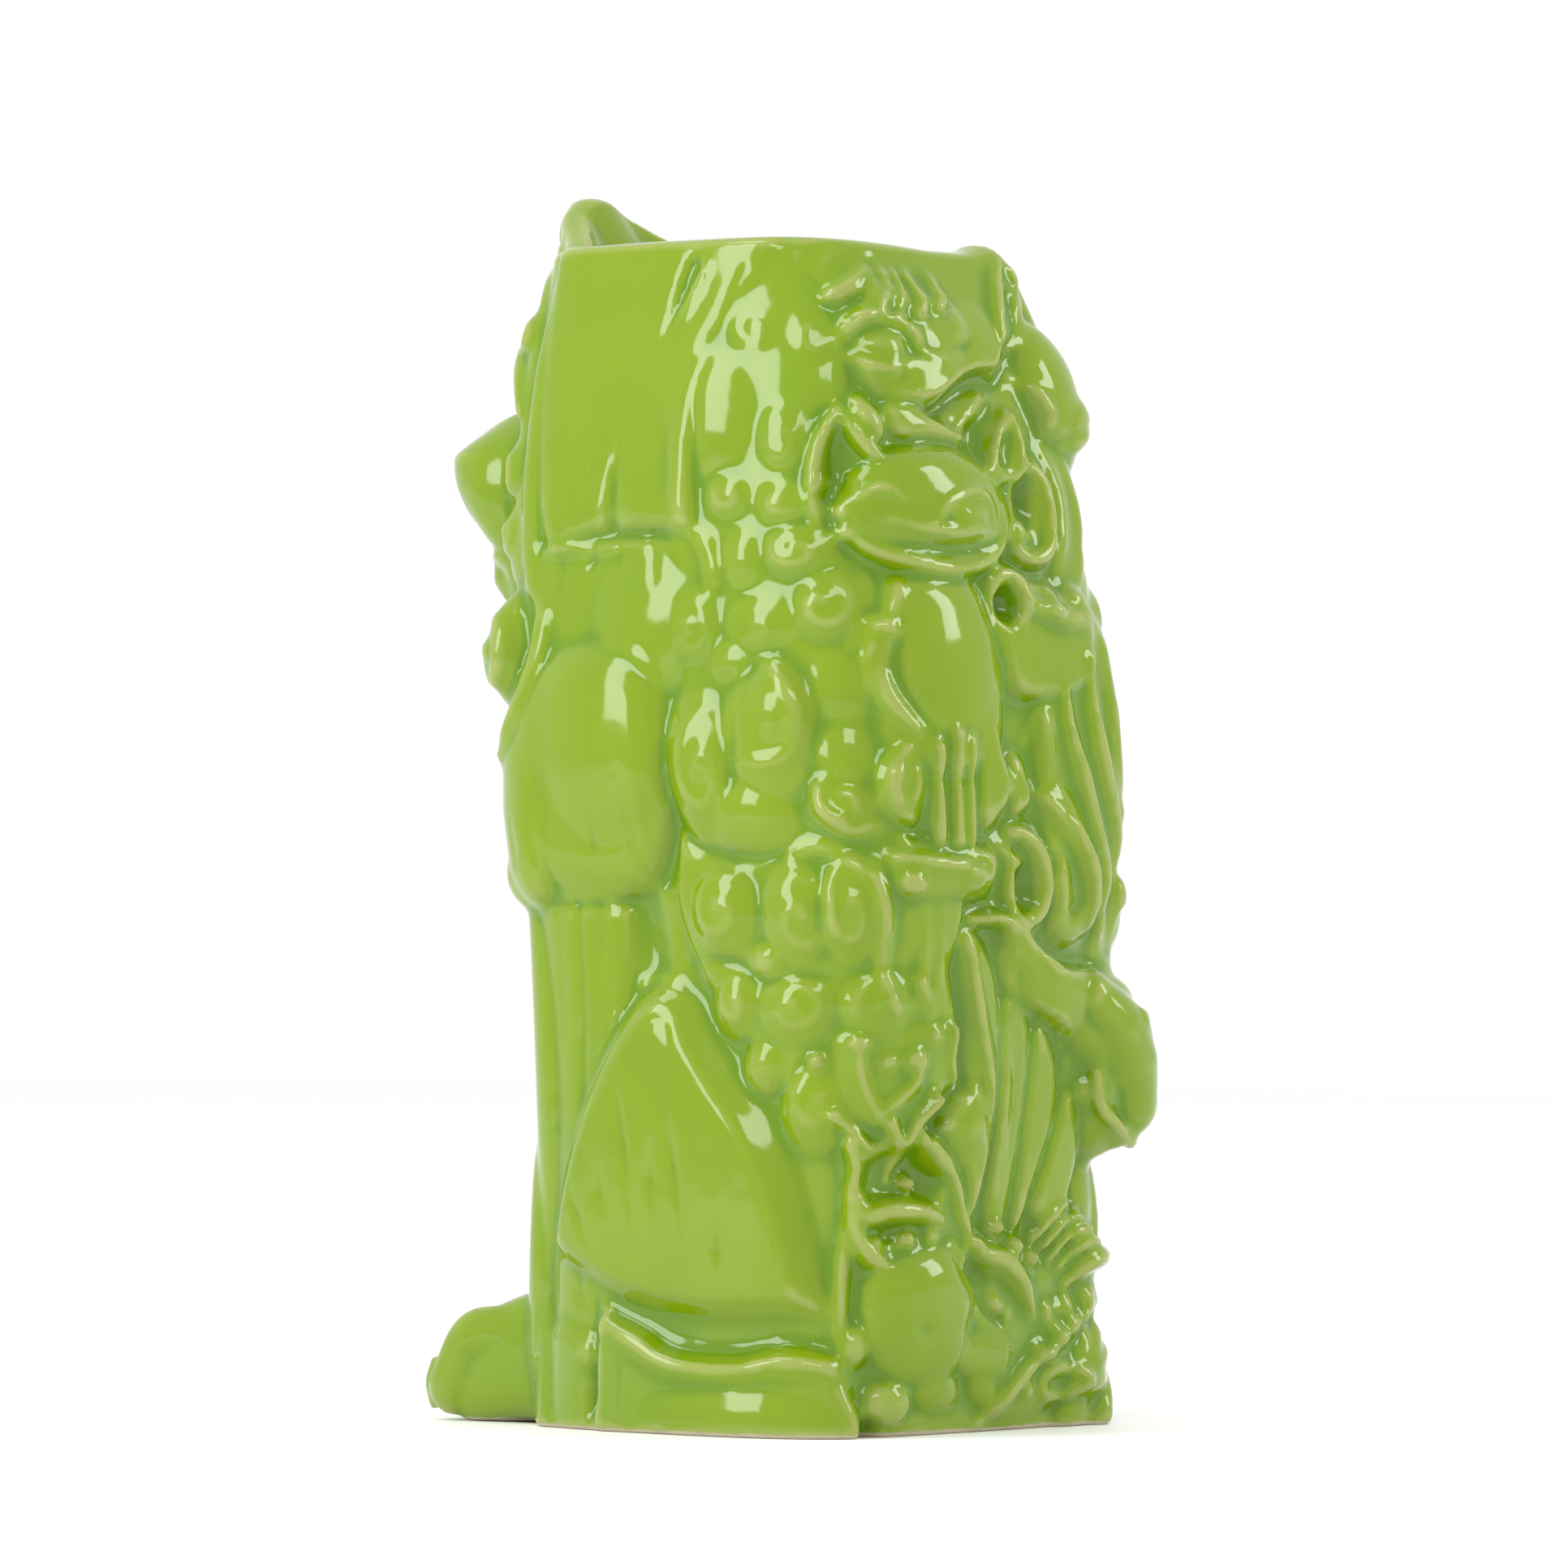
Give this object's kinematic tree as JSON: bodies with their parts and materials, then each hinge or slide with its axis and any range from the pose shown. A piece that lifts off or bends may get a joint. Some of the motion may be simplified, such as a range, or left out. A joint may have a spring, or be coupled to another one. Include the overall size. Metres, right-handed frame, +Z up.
{
  "type": "guardian lion vessel",
  "caption": "Tall open glazed ceramic vessel shaped as a seated guardian lion, with a sculpted mane, folded haunches and small creatures in relief on its back.",
  "frame": {"origin": "on the table, under the middle of the object's box", "axes": "+Z up out of the open mouth; the lion faces -Y; the lion's left side is +X"},
  "size_m": [0.0752, 0.1034, 0.19],
  "materials": {
    "vessel_glaze": "clear lime green glaze, high gloss, over white earthenware",
    "relief_glaze": "the same glaze, paler where it breaks thin over edges and darker where it pools"
  },
  "bodies": {
    "root": {"bat_mask": "relief_glaze", "bat_mask_left_ear": "relief_glaze", "bat_mask_right_ear": "relief_glaze", "beard": "relief_glaze", "beast_head": "relief_glaze", "beast_snout": "relief_glaze", "bell": "relief_glaze", "brow_left": "relief_glaze", "brow_right": "relief_glaze", "cheek_ridge_left": "relief_glaze", "cheek_ridge_right": "relief_glaze", "collar": "relief_glaze", "coral_branch": "relief_glaze", "crest": "relief_glaze", "cup": "relief_glaze", "curved_horn": "relief_glaze", "eye_left": "relief_glaze", "eye_right": "relief_glaze", "fan": "relief_glaze", "feathers": "relief_glaze", "figure_legs": "relief_glaze", "figure_torso": "relief_glaze", "finger": "relief_glaze", "foreleg_left": "relief_glaze", "foreleg_right": "relief_glaze", "forepaw_left": "relief_glaze", "forepaw_right": "relief_glaze", "grotto_arch": "relief_glaze", "grotto_bar": "relief_glaze", "grotto_dome": "relief_glaze", "haunch_left": "relief_glaze", "haunch_right": "relief_glaze", "head_side_panel_left": "relief_glaze", "head_side_panel_right": "relief_glaze", "hind_foot_left": "relief_glaze", "hind_foot_right": "relief_glaze", "long_leaf": "relief_glaze", "loop": "relief_glaze", "lower_jaw": "relief_glaze", "mane_curl_1_left": "relief_glaze", "mane_curl_1_right": "relief_glaze", "mane_curl_2_left": "relief_glaze", "mane_curl_2_right": "relief_glaze", "mane_curl_3_left": "relief_glaze", "mane_curl_3_right": "relief_glaze", "mane_curl_4_left": "relief_glaze", "mane_curl_4_right": "relief_glaze", "mane_curl_5_left": "relief_glaze", "mane_curl_5_right": "relief_glaze", "muzzle": "relief_glaze", "neck_block_left": "relief_glaze", "neck_block_right": "relief_glaze", "nose_bridge": "relief_glaze", "offering_plate": "relief_glaze", "shoulder_mass": "relief_glaze", "strand_bundle": "relief_glaze", "teeth": "relief_glaze", "tufted_mask": "relief_glaze", "tufted_mask_ear": "relief_glaze", "vessel": "vessel_glaze"}
  },
  "joints": []
}
